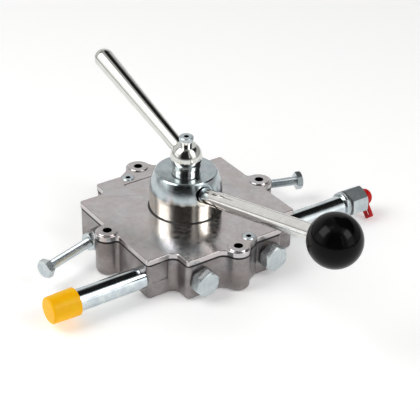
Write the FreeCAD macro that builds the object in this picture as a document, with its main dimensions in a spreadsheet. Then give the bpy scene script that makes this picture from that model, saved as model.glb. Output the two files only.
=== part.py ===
import FreeCAD, Part
import Sketcher
import math
import os

# Lever-operated rotary control: a hub turned by a hand lever drives a rack bar through two tubes,
# and a clamp lever on a fixed spindle locks the hub.
#
# Everything is modelled in a working frame whose X runs along the rack, from the capped tube to
# the tube with the union nut, and whose Z is the hub's axis, with Z = 0 on the housing's underside.
# FRAME then turns the whole part 45 degrees about Z, so that the four mounting holes form a square
# aligned with X and Y.

Vector = FreeCAD.Vector
Rotation = FreeCAD.Rotation
Placement = FreeCAD.Placement

doc = FreeCAD.newDocument("RotaryControl")
sheet = doc.addObject("Spreadsheet::Sheet", "Dims")
FRAME = Placement(Vector(0, 0, 0), Rotation(Vector(0, 0, 1), 45))
NODES = []


class Dim:
    """A length with its value and the sheet expression that gives it."""

    def __init__(self, value, text):
        self.value = value
        self.text = text

    def __add__(self, other):
        other = as_dim(other)
        return Dim(self.value + other.value, f"({self.text} + {other.text})")

    def __sub__(self, other):
        other = as_dim(other)
        return Dim(self.value - other.value, f"({self.text} - {other.text})")

    def __mul__(self, factor):
        return Dim(self.value * factor, f"({self.text} * {factor})")

    def __truediv__(self, factor):
        return Dim(self.value / factor, f"({self.text} / {factor})")

    def __neg__(self):
        return Dim(-self.value, f"(-{self.text})")

    def __radd__(self, other):
        return self + other

    def __rsub__(self, other):
        return -self + other


def as_dim(value):
    return value if isinstance(value, Dim) else Dim(float(value), repr(float(value)))


row = 0


def dim(alias, value, note):
    """Adds one driving dimension to the sheet and returns it."""
    global row
    row += 1
    sheet.set(f"A{row}", note)
    sheet.set(f"B{row}", str(value))
    sheet.setAlias(f"B{row}", alias)
    return Dim(float(value), f"Dims.{alias}")


# Housing
housing_height = dim("housing_height", 38.5, "lower casting, underside to joint face")
gasket_thickness = dim("gasket_thickness", 0.9, "joint gasket")
gasket_inset = dim("gasket_inset", 0.3, "how far the gasket stays back from the outline")
cover_thickness = dim("cover_thickness", 6.1, "top cover")
wing_half = dim("wing_half", 87.2, "half length of the body along the rack")
wing_front = dim("wing_front", 67.0, "front wall of the two ends")
wing_back = dim("wing_back", 64.0, "back wall of the two ends")
waist_half = dim("waist_half", 56.1, "half length of the deeper middle")
waist_front = dim("waist_front", 88.5, "front wall of the middle")
waist_back = dim("waist_back", 84.6, "back wall of the middle")
boss_reach = dim("boss_reach", 91.924, "hub axis to each mounting hole, half the diagonal of a 130 square")
front_boss = dim("front_boss", 12.0, "radius of the two front mounting bosses")
back_boss = dim("back_boss", 13.2, "radius of the two back mounting bosses")
lobe_radius = dim("lobe_radius", 8.4, "wall round each cover screw")
mount_radius = dim("mount_radius", 4.5, "mounting hole")
outer_corner = dim("outer_corner", 2.8, "radius of the cover's outer corners")
casting_corner = dim("casting_corner", 5.4, "radius of the casting's outer upright corners")
step_corner = dim("step_corner", 8.0, "radius of the inner corners between ends and middle")
boss_blend = dim("boss_blend", 4.0, "radius where the end bosses meet the walls")
side_blend = dim("side_blend", 11.0, "radius on the open side of the front and back bosses")
lobe_blend = dim("lobe_blend", 1.0, "radius beside the cover screws")
base_round = dim("base_round", 4.4, "rounding of the underside's edge")
cover_round = dim("cover_round", 0.9, "rounding of the cover's top edge")
floor_thickness = dim("floor_thickness", 6.0, "housing floor")
floor_boss = dim("floor_boss", 24.0, "raised seat under the segment, radius")
floor_boss_top = dim("floor_boss_top", 13.5, "top of that seat")
cavity_radius = dim("cavity_radius", 62.0, "round chamber for the pinion segment")
channel_half = dim("channel_half", 72.0, "half length of the rack's channel")
channel_front = dim("channel_front", 63.5, "front wall of that channel")
channel_width = dim("channel_width", 23.5, "width of that channel")
channel_floor = dim("channel_floor", 9.5, "floor of that channel")
pad_radius = dim("pad_radius", 10.6, "raised pad round each mounting hole")
pad_height = dim("pad_height", 1.1, "height of those pads")
pad_chamfer = dim("pad_chamfer", 0.5, "chamfer of those pads")
wall_relief = dim("wall_relief", 0.35, "depth of the ledges on the front walls")
wall_slot = dim("wall_slot", 1.0, "depth of the upright slot beside the left step")

# Cover screws and dowels
screw_head = dim("screw_head", 6.5, "cover screw head, radius")
head_height = dim("head_height", 4.4, "cover screw head under its crown")
crown_height = dim("crown_height", 0.6, "crown of that head")
screw_seat = dim("screw_seat", 6.75, "counterbore of the cover screws")
cover_screw_radius = dim("cover_screw_radius", 4.0, "M8 cover screw")
cover_screw_length = dim("cover_screw_length", 17.0, "cover screw under its head")
cover_socket = dim("cover_socket", 5.0, "cover screw's hexagon socket across flats")
socket_depth = dim("socket_depth", 3.6, "depth of that socket")
dowel_radius = dim("dowel_radius", 3.0, "dowel pin")
dowel_length = dim("dowel_length", 11.4, "dowel pin")
dowel_depth = dim("dowel_depth", 6.7, "how far it reaches down from the cover")
groove_width = dim("groove_width", 1.4, "oil groove in the cover")
groove_depth = dim("groove_depth", 1.5, "depth of that groove")

# Hub and its bearings
hub_radius = dim("hub_radius", 37.0, "hub drum")
hub_top = dim("hub_top", 86.5, "top face of the hub")
hub_top_radius = dim("hub_top_radius", 31.5, "top rim of the hub")
hub_rim = dim("hub_rim", 1.1, "chamfer of that rim")
hub_bend = dim("hub_bend", 61.5, "height from which the hub's side curves inwards")
hub_curve = dim("hub_curve", 52.7, "radius of that curve")
hub_shoulder = dim("hub_shoulder", 31.5, "underside of the drum")
shank_radius = dim("shank_radius", 15.0, "hub shank that carries the pinion segment")
shank_bottom = dim("shank_bottom", 7.9, "lower end of the shank")
bearing_radius = dim("bearing_radius", 38.5, "bore of the cover for upper bush and seal")
bush_wall = dim("bush_wall", 3.0, "wall of the lower bush")
bush_bottom = dim("bush_bottom", 7.4, "lower end of the lower bush")
seal_depth = dim("seal_depth", 2.0, "how deep the seal ring sits in the cover")
friction_radius = dim("friction_radius", 26.0, "friction disc")
friction_bore = dim("friction_bore", 15.6, "its bore")
friction_thickness = dim("friction_thickness", 1.3, "its thickness")
key_width = dim("key_width", 8.0, "shaft key")
key_bottom = dim("key_bottom", 17.0, "lower end of the keyway")
key_length = dim("key_length", 10.5, "length of the keyway")
key_inner = dim("key_inner", 11.0, "bottom of the keyway, from the hub axis")
key_outer = dim("key_outer", 18.3, "top of the segment's keyway, from the hub axis")
running_gap = dim("running_gap", 0.05, "radial clearance of running fits")
fixed_gap = dim("fixed_gap", 0.02, "radial clearance of pieces that do not move on each other")
face_gap = dim("face_gap", 0.1, "axial clearance between stacked pieces")

# Rack and pinion
tooth_module = dim("tooth_module", 2.0, "module of segment and rack")
pitch_radius = dim("pitch_radius", 51.0, "pitch radius of the segment, module times teeth over two")
pinion_thickness = dim("pinion_thickness", 12.0, "segment plate")
segment_hub = dim("segment_hub", 22.0, "hub of the segment, radius")
rack_level = dim("rack_level", 21.0, "height of the rack's axis")
rack_offset = dim("rack_offset", 55.5, "hub axis to rack axis")
rack_radius = dim("rack_radius", 7.0, "rack bar")
rack_half = dim("rack_half", 118.0, "half length of the rack bar")
rack_toothed = dim("rack_toothed", 54.0, "half length of its toothed flat")
rack_hole = dim("rack_hole", 2.5, "hole for the cable end in the rack bar")
rack_hole_depth = dim("rack_hole_depth", 16.0, "depth of that hole")
lug_reach = dim("lug_reach", 60.0, "reach of the segment's stop lug")
lug_width = dim("lug_width", 14.0, "width of the stop lug")

# Tubes and what closes them
tube_radius = dim("tube_radius", 11.0, "rack tubes, outside")
tube_bore = dim("tube_bore", 7.4, "rack tubes, inside")
spigot_radius = dim("spigot_radius", 9.0, "threaded spigot of each tube")
spigot_length = dim("spigot_length", 9.5, "length of that spigot")
bush_start = dim("bush_start", 72.0, "inner end of the rack bushes")
left_tube_end = dim("left_tube_end", 184.0, "far end of the capped tube")
right_tube_shoulder = dim("right_tube_shoulder", 158.0, "shoulder of the other tube")
right_tube_end = dim("right_tube_end", 178.0, "far end of that tube's thread")
right_thread = dim("right_thread", 10.0, "radius of that thread")
cap_end = dim("cap_end", 188.0, "closed end of the protective cap")
cap_mouth = dim("cap_mouth", 159.0, "open end of the protective cap")
cap_radius = dim("cap_radius", 13.9, "protective cap at its mouth, outside")
cap_end_radius = dim("cap_end_radius", 13.2, "protective cap at its closed end, outside")
cap_round = dim("cap_round", 2.2, "rounding of the cap's closed end")
mouth_round = dim("mouth_round", 0.9, "rounding of the cap's mouth")
collar_radius = dim("collar_radius", 13.5, "collar on the right tube")
collar_length = dim("collar_length", 5.1, "length of that collar")
nut_start = dim("nut_start", 165.6, "inner face of the union nut")
nut_end = dim("nut_end", 186.0, "outer face of the union nut")
nut_flats = dim("nut_flats", 27.0, "union nut across flats")
nut_mouth = dim("nut_mouth", 7.8, "mouth of the union nut, radius")
red_head = dim("red_head", 8.6, "head of the red plug, radius")
tag_width = dim("tag_width", 11.2, "width of its loop tag")
tag_reach = dim("tag_reach", 22.6, "plug axis to the end of the tag")
tag_thickness = dim("tag_thickness", 3.0, "thickness of the tag")
tag_corner = dim("tag_corner", 2.2, "corner radius of the tag")
tag_band = dim("tag_band", 3.2, "width of the loop's band")

# Stop screws
screw_radius = dim("screw_radius", 5.0, "M10 stop screw")
screw_distance = dim("screw_distance", 50.0, "hub axis to the stop screws' axes")
screw_level = dim("screw_level", 24.8, "height of the stop screws")
screw_length = dim("screw_length", 120.0, "stop screw under its head")
screw_flats = dim("screw_flats", 17.0, "stop screw and lock nut across flats")
screw_hex = dim("screw_hex", 6.4, "height of the stop screw's head")
lock_nut = dim("lock_nut", 8.0, "height of the lock nut")
screw_boss = dim("screw_boss", 10.0, "boss round each stop screw, radius")
screw_boss_start = dim("screw_boss_start", 62.0, "foot of the perpendicular to where the boss starts")
screw_bore_start = dim("screw_bore_start", 28.0, "foot of the perpendicular to where the bore starts")
left_tip = dim("left_tip", 28.0, "foot of the perpendicular to the tip, capped-tube side")
right_tip = dim("right_tip", 17.5, "foot of the perpendicular to the tip, nut side")
nut_seat = dim("nut_seat", 84.0, "foot of the perpendicular to the lock nut's seat")

# Rack guides
guide_spacing = dim("guide_spacing", 40.6, "hub axis to each rack guide along the rack")
guide_radius = dim("guide_radius", 8.0, "M16 guide bore")
guide_yoke = dim("guide_yoke", 7.4, "guide yoke, radius")
yoke_length = dim("yoke_length", 11.4, "guide yoke")
yoke_start = dim("yoke_start", 74.2, "hub axis to the yoke's outer end, across the rack")
spring_start = dim("spring_start", 76.9, "hub axis to the spring's outer end, across the rack")
spring_radius = dim("spring_radius", 4.8, "disc springs behind the yoke, radius")
spring_bore = dim("spring_bore", 2.6, "their bore")
spring_pitch = dim("spring_pitch", 2.5, "height of one pair of disc springs")
spring_wall = dim("spring_wall", 0.9, "thickness of one disc spring, measured across its bore")
plug_flats = dim("plug_flats", 24.0, "guide plug across flats")
plug_head = dim("plug_head", 10.5, "guide plug head")
plug_shank = dim("plug_shank", 14.0, "guide plug under its head")
washer_radius = dim("washer_radius", 12.7, "sealing washer, outside")
washer_thickness = dim("washer_thickness", 2.5, "sealing washer under each plug")

# Levers
lever_level = dim("lever_level", 63.7, "height at which the lever's axis meets the hub's")
lever_radius = dim("lever_radius", 8.0, "control lever rod")
lever_thread = dim("lever_thread", 7.0, "threaded end of the lever, radius")
lever_start = dim("lever_start", 14.4, "inner end of the lever")
lever_shoulder = dim("lever_shoulder", 27.4, "where the lever's thread ends")
lever_mouth = dim("lever_mouth", 9.3, "recess round the lever, radius")
lever_face = dim("lever_face", 11.6, "flat spot face round that recess, radius")
lever_face_start = dim("lever_face_start", 33.8, "hub axis to the spot face along the lever")
lever_reach = dim("lever_reach", 238.5, "hub axis to the knob's centre along the lever")
knob_radius = dim("knob_radius", 25.0, "ball knob")
stud_radius = dim("stud_radius", 6.0, "stud inside the knob")
stud_length = dim("stud_length", 18.0, "its length")
knob_flat = dim("knob_flat", 23.9, "knob centre to its flat")
spindle_radius = dim("spindle_radius", 6.0, "M12 clamp spindle")
spindle_head = dim("spindle_head", 11.9, "head of the spindle under the floor, radius")
spindle_head_top = dim("spindle_head_top", 4.1, "top of that head")
spindle_top = dim("spindle_top", 114.5, "upper end of the spindle and top flat of the clamp ball")
spindle_hole = dim("spindle_hole", 4.0, "threaded hole in its end, radius")
spindle_hole_depth = dim("spindle_hole_depth", 14.0, "depth of that hole")
clamp_level = dim("clamp_level", 102.0, "centre of the clamp ball")
clamp_radius = dim("clamp_radius", 16.0, "clamp ball")
clamp_skirt = dim("clamp_skirt", 14.6, "skirt under the clamp ball, radius")
clamp_base = dim("clamp_base", 91.6, "underside of the clamp lever")
arm_start = dim("arm_start", 8.0, "clamp ball centre to where the arm starts, inside the ball")
arm_reach = dim("arm_reach", 152.0, "clamp ball centre to the centre of the arm's rounded end")
arm_end_radius = dim("arm_end_radius", 10.4, "rounded end of the arm")
arm_root_radius = dim("arm_root_radius", 7.2, "arm where it leaves the ball")
thrust_radius = dim("thrust_radius", 13.8, "thrust washer")
thrust_thickness = dim("thrust_thickness", 2.6, "its thickness")
disc_radius = dim("disc_radius", 13.0, "disc spring under the clamp lever")
spacer_radius = dim("spacer_radius", 5.5, "spacer under the cap screw")
spacer_height = dim("spacer_height", 5.8, "height of that spacer")
cap_screw_head = dim("cap_screw_head", 7.2, "cap screw head, radius")
cap_screw_height = dim("cap_screw_height", 3.8, "height of that head")
cap_socket = dim("cap_socket", 5.0, "its hexagon socket across flats")
cap_socket_depth = dim("cap_socket_depth", 2.6, "depth of that socket")

PINION_TEETH = 51
SIDE_TEETH = 7
PRESSURE_ANGLE = 20.0
BACKLASH = 0.16
SCREW_TILT = 17.5
LEVER_RISE = 15.5
ARM_RISE = 20.0
ARM_TURN = 3.5
COVER_SCREWS = ((-20.9, 78.0), (19.1, -82.4))
DOWELS = ((-76.0, -20.0), (76.0, -20.0))
OVERCUT = 1.0
CROWN_SHARE = 0.475

cover_bottom = housing_height + gasket_thickness
cover_top = cover_bottom + cover_thickness
seal_bottom = cover_top - seal_depth
head_bottom = cover_top - head_height
segment_bottom = rack_level - pinion_thickness / 2

doc.recompute()


# ---------------------------------------------------------------- helpers

def bind(obj, prop, value):
    """Drives one property from the sheet."""
    obj.setExpression(prop, as_dim(value).text)


def locate(obj, x, y, z):
    bind(obj, "Placement.Base.x", x)
    bind(obj, "Placement.Base.y", y)
    bind(obj, "Placement.Base.z", z)


def aim(obj, direction):
    """Turns an object made along Z so that it points along direction."""
    obj.Placement = Placement(Vector(0, 0, 0), Rotation(Vector(0, 0, 1), Vector(*direction)))


def box(name, low, size):
    obj = doc.addObject("Part::Box", name)
    for prop, value in zip(("Length", "Width", "Height"), size):
        bind(obj, prop, value)
    locate(obj, *low)
    return obj


def rod(name, base, radius, length, direction=(0, 0, 1)):
    obj = doc.addObject("Part::Cylinder", name)
    bind(obj, "Radius", radius)
    bind(obj, "Height", length)
    aim(obj, direction)
    locate(obj, *base)
    return obj


def cone(name, base, radius_start, radius_end, length, direction=(0, 0, 1)):
    obj = doc.addObject("Part::Cone", name)
    bind(obj, "Radius1", radius_start)
    bind(obj, "Radius2", radius_end)
    bind(obj, "Height", length)
    aim(obj, direction)
    locate(obj, *base)
    return obj


def ball(name, centre, radius):
    obj = doc.addObject("Part::Sphere", name)
    bind(obj, "Radius", radius)
    locate(obj, *centre)
    return obj


def hexagon(name, flats, length):
    obj = doc.addObject("Part::Prism", name)
    obj.Polygon = 6
    bind(obj, "Circumradius", flats / math.sqrt(3))
    bind(obj, "Height", length)
    return obj


def fuse(name, *pieces):
    obj = doc.addObject("Part::MultiFuse", name)
    obj.Shapes = list(pieces)
    obj.Refine = True
    return obj


def cut(name, base, *tools):
    obj = doc.addObject("Part::Cut", name)
    obj.Base = base
    obj.Tool = tools[0] if len(tools) == 1 else fuse(name + "_tools", *tools)
    obj.Refine = True
    return obj


def common(name, first, second):
    obj = doc.addObject("Part::Common", name)
    obj.Base = first
    obj.Tool = second
    return obj


def group(name, *pieces):
    obj = doc.addObject("Part::Compound", name)
    obj.Links = list(pieces)
    return obj


def rounded(name, base, radius, pick):
    """Rounds the edges of base for which pick(edge) is true."""
    doc.recompute()
    obj = doc.addObject("Part::Fillet", name)
    obj.Base = base
    size = as_dim(radius).value
    picked = [i for i, edge in enumerate(base.Shape.Edges, start=1) if pick(edge)]
    if not picked:
        raise RuntimeError(name + ": no edge to round")
    obj.Edges = [(i, size, size) for i in picked]
    return obj


def along(start, direction, distance):
    """The point at distance from start along a unit direction, each coordinate a Dim."""
    return tuple(as_dim(s) + as_dim(distance) * d for s, d in zip(start, direction))


def plane_of(body, role):
    return next(f for f in body.Origin.OriginFeatures if f.Role == role)


def turned(name, outline):
    """A body turned about Z from a closed outline that runs up its outer side.

    Each point is (radius, height); a third number is the radius of a convex arc to the next point.
    """
    body = doc.addObject("PartDesign::Body", name)
    sketch = body.newObject("Sketcher::SketchObject", name + "_profile")
    sketch.AttachmentSupport = [(plane_of(body, "XZ_Plane"), "")]
    sketch.MapMode = "FlatFace"
    points = [tuple(as_dim(number) for number in point) for point in outline]
    count = len(points)
    for i, point in enumerate(points):
        following = points[(i + 1) % count]
        start = Vector(point[0].value, point[1].value, 0)
        end = Vector(following[0].value, following[1].value, 0)
        if len(point) == 2:
            sketch.addGeometry(Part.LineSegment(start, end), False)
            continue
        chord = end - start
        bend = point[2].value
        inward = Vector(-chord.y, chord.x, 0) / chord.Length
        centre = (start + end) / 2 + inward * math.sqrt(max(0.0, bend ** 2 - chord.Length ** 2 / 4))
        angles = [math.atan2(end_point.y - centre.y, end_point.x - centre.x) for end_point in (start, end)]
        circle = Part.Circle(centre, Vector(0, 0, 1), bend)
        sketch.addGeometry(Part.ArcOfCircle(circle, *angles), False)
    for i in range(count):
        sketch.addConstraint(Sketcher.Constraint("Coincident", i, 2, (i + 1) % count, 1))
    for i, point in enumerate(points):
        for kind, value in (("DistanceX", point[0]), ("DistanceY", point[1])):
            if value.value == 0:
                axis = -2 if kind == "DistanceX" else -1
                sketch.addConstraint(Sketcher.Constraint("PointOnObject", i, 1, axis))
                continue
            index = sketch.addConstraint(Sketcher.Constraint(kind, -1, 1, i, 1, value.value))
            sketch.setExpression(f"Constraints[{index}]", value.text)
        if len(point) == 3:
            index = sketch.addConstraint(Sketcher.Constraint("Radius", i, point[2].value))
            sketch.setExpression(f"Constraints[{index}]", point[2].text)
    turn = body.newObject("PartDesign::Revolution", name + "_turn")
    turn.Profile = sketch
    turn.ReferenceAxis = (sketch, ["V_Axis"])
    turn.Angle = 360
    sketch.Visibility = False
    doc.recompute()
    return body


def ring(name, inner, outer, bottom, top):
    return turned(name, ((inner, bottom), (outer, bottom), (outer, top), (inner, top)))


def chamfered_hexagon(name, flats, length):
    """A hexagon from Z = 0 to length, chamfered at its outer end."""
    slope = math.tan(math.radians(60))
    crown = flats * CROWN_SHARE
    cap = cone(name + "_crown", (0, 0, 0), crown + as_dim(length) * slope, crown, length)
    return common(name, hexagon(name + "_bar", flats, length), cap)


def node(obj, label, local=None):
    """Registers a finished sub-part; local places it in the working frame."""
    obj.Label = label
    obj.Placement = FRAME.multiply(local) if local else FRAME
    NODES.append(obj)
    return obj


def pointed(direction, base=(0, 0, 0), roll=0.0):
    """Placement that points a piece made along Z along direction, from base.

    The piece's X points up, or as nearly up as it can, and roll then turns it about direction.
    """
    turn = Rotation(Vector(0, 0, 1), Vector(0, 0, 0), Vector(*direction), "ZXY")
    start = Vector(*[as_dim(coordinate).value for coordinate in base])
    return Placement(start, turn.multiply(Rotation(Vector(0, 0, 1), roll)))


# ---------------------------------------------------------------- housing

BOSSES = (
    (boss_reach, 0, back_boss), (0, boss_reach, back_boss),
    (-boss_reach, 0, front_boss), (0, -boss_reach, front_boss))


def is_upright(edge):
    ends = edge.Vertexes
    return len(ends) == 2 and abs(ends[0].X - ends[1].X) < 1e-6 and abs(ends[0].Y - ends[1].Y) < 1e-6


def is_at(level):
    height = as_dim(level).value

    def pick(edge):
        bounds = edge.BoundBox
        return abs(bounds.ZMin - height) < 1e-4 and abs(bounds.ZMax - height) < 1e-4
    return pick


def is_close(edge, corners, distance):
    """Whether an upright edge stands within distance of one of the (x, y) corners."""
    foot = edge.Vertexes[0]
    return any(math.hypot(foot.X - x, foot.Y - y) < distance for x, y in corners)


def mirrored(x, front, back):
    """The four corners at plus and minus x, on the front and the back wall."""
    return [(side * x.value, wall.value) for side in (-1, 1) for wall in (-front, back)]


def is_sharp(edge, shape):
    """Whether the two faces that meet in an upright edge form a corner."""
    if not is_upright(edge):
        return False
    faces = [f for f in shape.Faces if any(e.isSame(edge) for e in f.Edges)]
    point = edge.valueAt((edge.FirstParameter + edge.LastParameter) / 2)
    normals = [f.normalAt(*f.Surface.parameter(point)) for f in faces]
    return len(normals) == 2 and abs(normals[0].dot(normals[1])) < 0.99


def slab(name, bottom, thickness, inset=0.0):
    """The casting's outline as a plate: two overlapping rectangles, four bosses and two lobes."""
    wing = box(
        name + "_wing", (-wing_half + inset, -wing_front + inset, bottom),
        ((wing_half - inset) * 2, wing_front + wing_back - inset * 2, thickness))
    waist = box(
        name + "_waist", (-waist_half + inset, -waist_front + inset, bottom),
        ((waist_half - inset) * 2, waist_front + waist_back - inset * 2, thickness))
    pieces = [wing, waist]
    for i, (x, y, radius) in enumerate(BOSSES):
        pieces.append(rod(f"{name}_boss{i}", (x, y, bottom), radius - inset, thickness))
    half_width = lobe_radius - inset
    for i, (x, y) in enumerate(COVER_SCREWS):
        pieces.append(rod(f"{name}_lobe{i}", (x, y, bottom), half_width, thickness))
        boss_y = math.copysign(boss_reach.value, y)
        web = doc.addObject("Part::Box", f"{name}_web{i}")
        bind(web, "Length", math.hypot(x, boss_y - y))
        bind(web, "Width", half_width * 2)
        bind(web, "Height", thickness)
        heading = math.atan2(y - boss_y, x)
        web.Placement = Placement(Vector(0, 0, 0), Rotation(Vector(0, 0, 1), math.degrees(heading)))
        locate(web, half_width * math.sin(heading), half_width * -math.cos(heading) + boss_y, bottom)
        pieces.append(web)
    return fuse(name + "_outline", *pieces)


def cornered(name, plate, corner):
    """Rounds a plate's upright corners, each kind with its own radius."""
    beside_screw = 15.0
    side_boss = 18.0
    outer = mirrored(waist_half, waist_front, waist_back) + mirrored(wing_half, wing_front, wing_back)
    steps = mirrored(waist_half, wing_front, wing_back)
    bosses = [(0, boss_reach.value), (0, -boss_reach.value)]
    kinds = (
        ("outer", corner, outer, 3.0), ("step", step_corner, steps, 3.0),
        ("lobe", lobe_blend, COVER_SCREWS, beside_screw), ("side", side_blend, bosses, side_boss))
    for word, radius, places, distance in kinds:
        doc.recompute()
        shape = plate.Shape
        plate = rounded(
            f"{name}_{word}", plate, radius,
            lambda edge: is_sharp(edge, shape) and is_close(edge, places, distance))
    doc.recompute()
    shape = plate.Shape
    return rounded(name + "_blend", plate, boss_blend, lambda edge: is_sharp(edge, shape))


def mount_holes(name, bottom, height):
    return [
        rod(f"{name}_mount{i}", (x, y, bottom), mount_radius, height)
        for i, (x, y, _) in enumerate(BOSSES)
    ]


def wall_pockets():
    """Shallow ledges on the front walls of both ends, and the slot beside the left step."""
    level = 18.5
    height = housing_height - level + OVERCUT
    front = -wing_front - OVERCUT
    return (
        box("ledge_left", (-82.0, front, level), (17.2, wall_relief + OVERCUT, height)),
        box("ledge_right", (67.0, front, level), (14.0, wall_relief + OVERCUT, height)),
        box("slot_left", (-73.0, front, level), (8.2, wall_slot + OVERCUT, height)))


def screw_axis(side):
    """Foot of the perpendicular from the hub axis, and the outward direction, of one stop screw."""
    tilt = math.radians(SCREW_TILT)
    foot = (screw_distance * (side * math.sin(tilt)), screw_distance * math.cos(tilt), screw_level)
    outward = (side * math.cos(tilt), -math.sin(tilt), 0)
    return foot, outward


def lower_housing():
    shell = cornered("casting", slab("casting", 0, housing_height), casting_corner)
    shell = rounded("casting_base", shell, base_round, is_at(0))
    screw_bosses = []
    screw_bores = []
    for side, word in ((-1, "left"), (1, "right")):
        foot, outward = screw_axis(side)
        start = along(foot, outward, screw_boss_start)
        screw_bosses.append(
            rod(word + "_screw_boss", start, screw_boss, nut_seat - screw_boss_start, outward))
        start = along(foot, outward, screw_bore_start)
        screw_bores.append(
            rod(word + "_screw_bore", start, screw_radius + fixed_gap, screw_length / 2 + 10, outward))
    solid = fuse("casting_solid", shell, *screw_bosses)
    chamber = rod("chamber", (0, 0, floor_thickness), cavity_radius, housing_height)
    channel = box(
        "channel", (-channel_half, -channel_front, channel_floor),
        (channel_half * 2, channel_width, housing_height))
    hollow = cut("casting_hollow", solid, chamber, channel, *wall_pockets())
    seat = rod("floor_boss", (0, 0, OVERCUT), floor_boss, floor_boss_top - OVERCUT)
    hollow = fuse("casting_floor", hollow, seat)
    bores = [
        rod("bush_pocket", (0, 0, bush_bottom - face_gap), shank_radius + bush_wall, floor_boss_top),
        rod("spindle_bore", (0, 0, -OVERCUT), spindle_radius + fixed_gap, floor_boss_top),
        rod("spindle_seat", (0, 0, -OVERCUT), spindle_head + 0.3, spindle_head_top + face_gap + OVERCUT),
        rod("tube_bore_through", (-wing_half - OVERCUT, -rack_offset, rack_level), spigot_radius,
            (wing_half + OVERCUT) * 2, (1, 0, 0)),
    ]
    bores += mount_holes("casting", -OVERCUT, housing_height + OVERCUT * 2)
    bores += [
        rod(f"guide_bore{i}", (guide_spacing * side, -waist_front - OVERCUT, rack_level), guide_radius,
            waist_front - channel_front + OVERCUT * 2, (0, 1, 0))
        for i, side in enumerate((-1, 1))
    ]
    thread_end = head_bottom - cover_screw_length - 3.0
    bores += [
        rod(f"cover_thread{i}", (x, y, thread_end), cover_screw_radius, housing_height)
        for i, (x, y) in enumerate(COVER_SCREWS)
    ]
    bores += [
        rod(f"dowel_seat{i}", (x, y, cover_bottom - dowel_depth - face_gap * 2), dowel_radius, dowel_length)
        for i, (x, y) in enumerate(DOWELS)
    ]
    node(cut("casting_bored", hollow, *bores, *screw_bores), "lower_housing")


def cover_grooves():
    """The short oil groove behind the hub, with its hooked end."""
    left_end = -32.5
    level = 66.8
    floor = cover_top - groove_depth
    straight = box("cover_groove", (left_end, level, floor), (33.5, groove_width, groove_depth + OVERCUT))
    hook = box("cover_groove_hook", (left_end, level, floor), (2.8, groove_width, groove_depth + OVERCUT))
    hook.Placement = Placement(hook.Placement.Base, Rotation(Vector(0, 0, 1), 235))
    locate(hook, groove_width + left_end, groove_width + level, floor)
    return straight, hook


def top_cover():
    plate = cornered("cover", slab("cover", cover_bottom, cover_thickness), outer_corner)
    plate = rounded("cover_edge", plate, cover_round, is_at(cover_top))
    pads = []
    for i, (x, y, _) in enumerate(BOSSES):
        foot = pad_height - pad_chamfer + OVERCUT
        pads.append(rod(f"cover_pad{i}", (x, y, cover_top - OVERCUT), pad_radius, foot))
        pads.append(cone(
            f"cover_pad_edge{i}", (x, y, cover_top + pad_height - pad_chamfer), pad_radius,
            pad_radius - pad_chamfer, pad_chamfer))
    plate = fuse("cover_padded", plate, *pads)
    through = cover_thickness + pad_height + OVERCUT * 2
    tools = [rod("cover_bearing", (0, 0, cover_bottom - OVERCUT), bearing_radius, through)]
    tools += mount_holes("cover", cover_bottom - OVERCUT, through)
    for i, (x, y) in enumerate(COVER_SCREWS):
        clear = cover_screw_radius + 0.2
        tools.append(rod(f"cover_screw_hole{i}", (x, y, cover_bottom - OVERCUT), clear, through))
        tools.append(rod(f"cover_screw_seat{i}", (x, y, head_bottom), screw_seat, through))
    tools += [
        rod(f"cover_dowel{i}", (x, y, cover_bottom - OVERCUT), dowel_radius + fixed_gap,
            dowel_length - dowel_depth + face_gap + OVERCUT)
        for i, (x, y) in enumerate(DOWELS)
    ]
    node(cut("cover_bored", plate, *tools, *cover_grooves()), "top_cover")


def cover_gasket():
    plate = slab("gasket", housing_height, gasket_thickness, gasket_inset)
    plate = cornered("gasket", plate, casting_corner)
    below = housing_height - OVERCUT
    through = gasket_thickness + OVERCUT * 2
    edge_gap = 0.5
    tools = [
        rod("gasket_chamber", (0, 0, below), cavity_radius + edge_gap, through),
        box("gasket_channel", (-channel_half - edge_gap, -channel_front - edge_gap, below),
            ((channel_half + edge_gap) * 2, channel_width + edge_gap * 2, through)),
    ]
    tools += mount_holes("gasket", below, through)
    for i, (x, y) in enumerate(COVER_SCREWS):
        tools.append(rod(f"gasket_screw{i}", (x, y, below), cover_screw_radius + edge_gap, through))
    for i, (x, y) in enumerate(DOWELS):
        tools.append(rod(f"gasket_dowel{i}", (x, y, below), dowel_radius + edge_gap, through))
    node(cut("gasket_cut", plate, *tools), "cover_gasket")


def cover_screws():
    screws = []
    side_top = head_bottom + head_height
    top = side_top + crown_height
    shank = cover_screw_radius - fixed_gap
    for i, (x, y) in enumerate(COVER_SCREWS):
        screw = turned(f"cover_screw{i}_body", (
            (0, head_bottom - cover_screw_length), (shank, head_bottom - cover_screw_length),
            (shank, head_bottom), (screw_head, head_bottom), (screw_head, side_top),
            (screw_head - crown_height, top), (0, top)))
        socket = hexagon(f"cover_screw{i}_socket", cover_socket, socket_depth + OVERCUT)
        locate(socket, 0, 0, top - socket_depth)
        screw = cut(f"cover_screw{i}_piece", screw, socket)
        screw.Placement = Placement(Vector(x, y, 0), Rotation())
        screws.append(screw)
    node(group("cover_screw_pair", *screws), "cover_screws")


def dowel_pins():
    pins = [
        rod(f"dowel{i}", (x, y, cover_bottom - dowel_depth), dowel_radius - fixed_gap, dowel_length)
        for i, (x, y) in enumerate(DOWELS)
    ]
    node(group("dowel_pair", *pins), "dowel_pins")


# ---------------------------------------------------------------- hub, bearings and seal

LEVER_OUT = (0, -math.cos(math.radians(LEVER_RISE)), math.sin(math.radians(LEVER_RISE)))


def lever_point(distance):
    return along((0, 0, lever_level), LEVER_OUT, distance)


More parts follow.
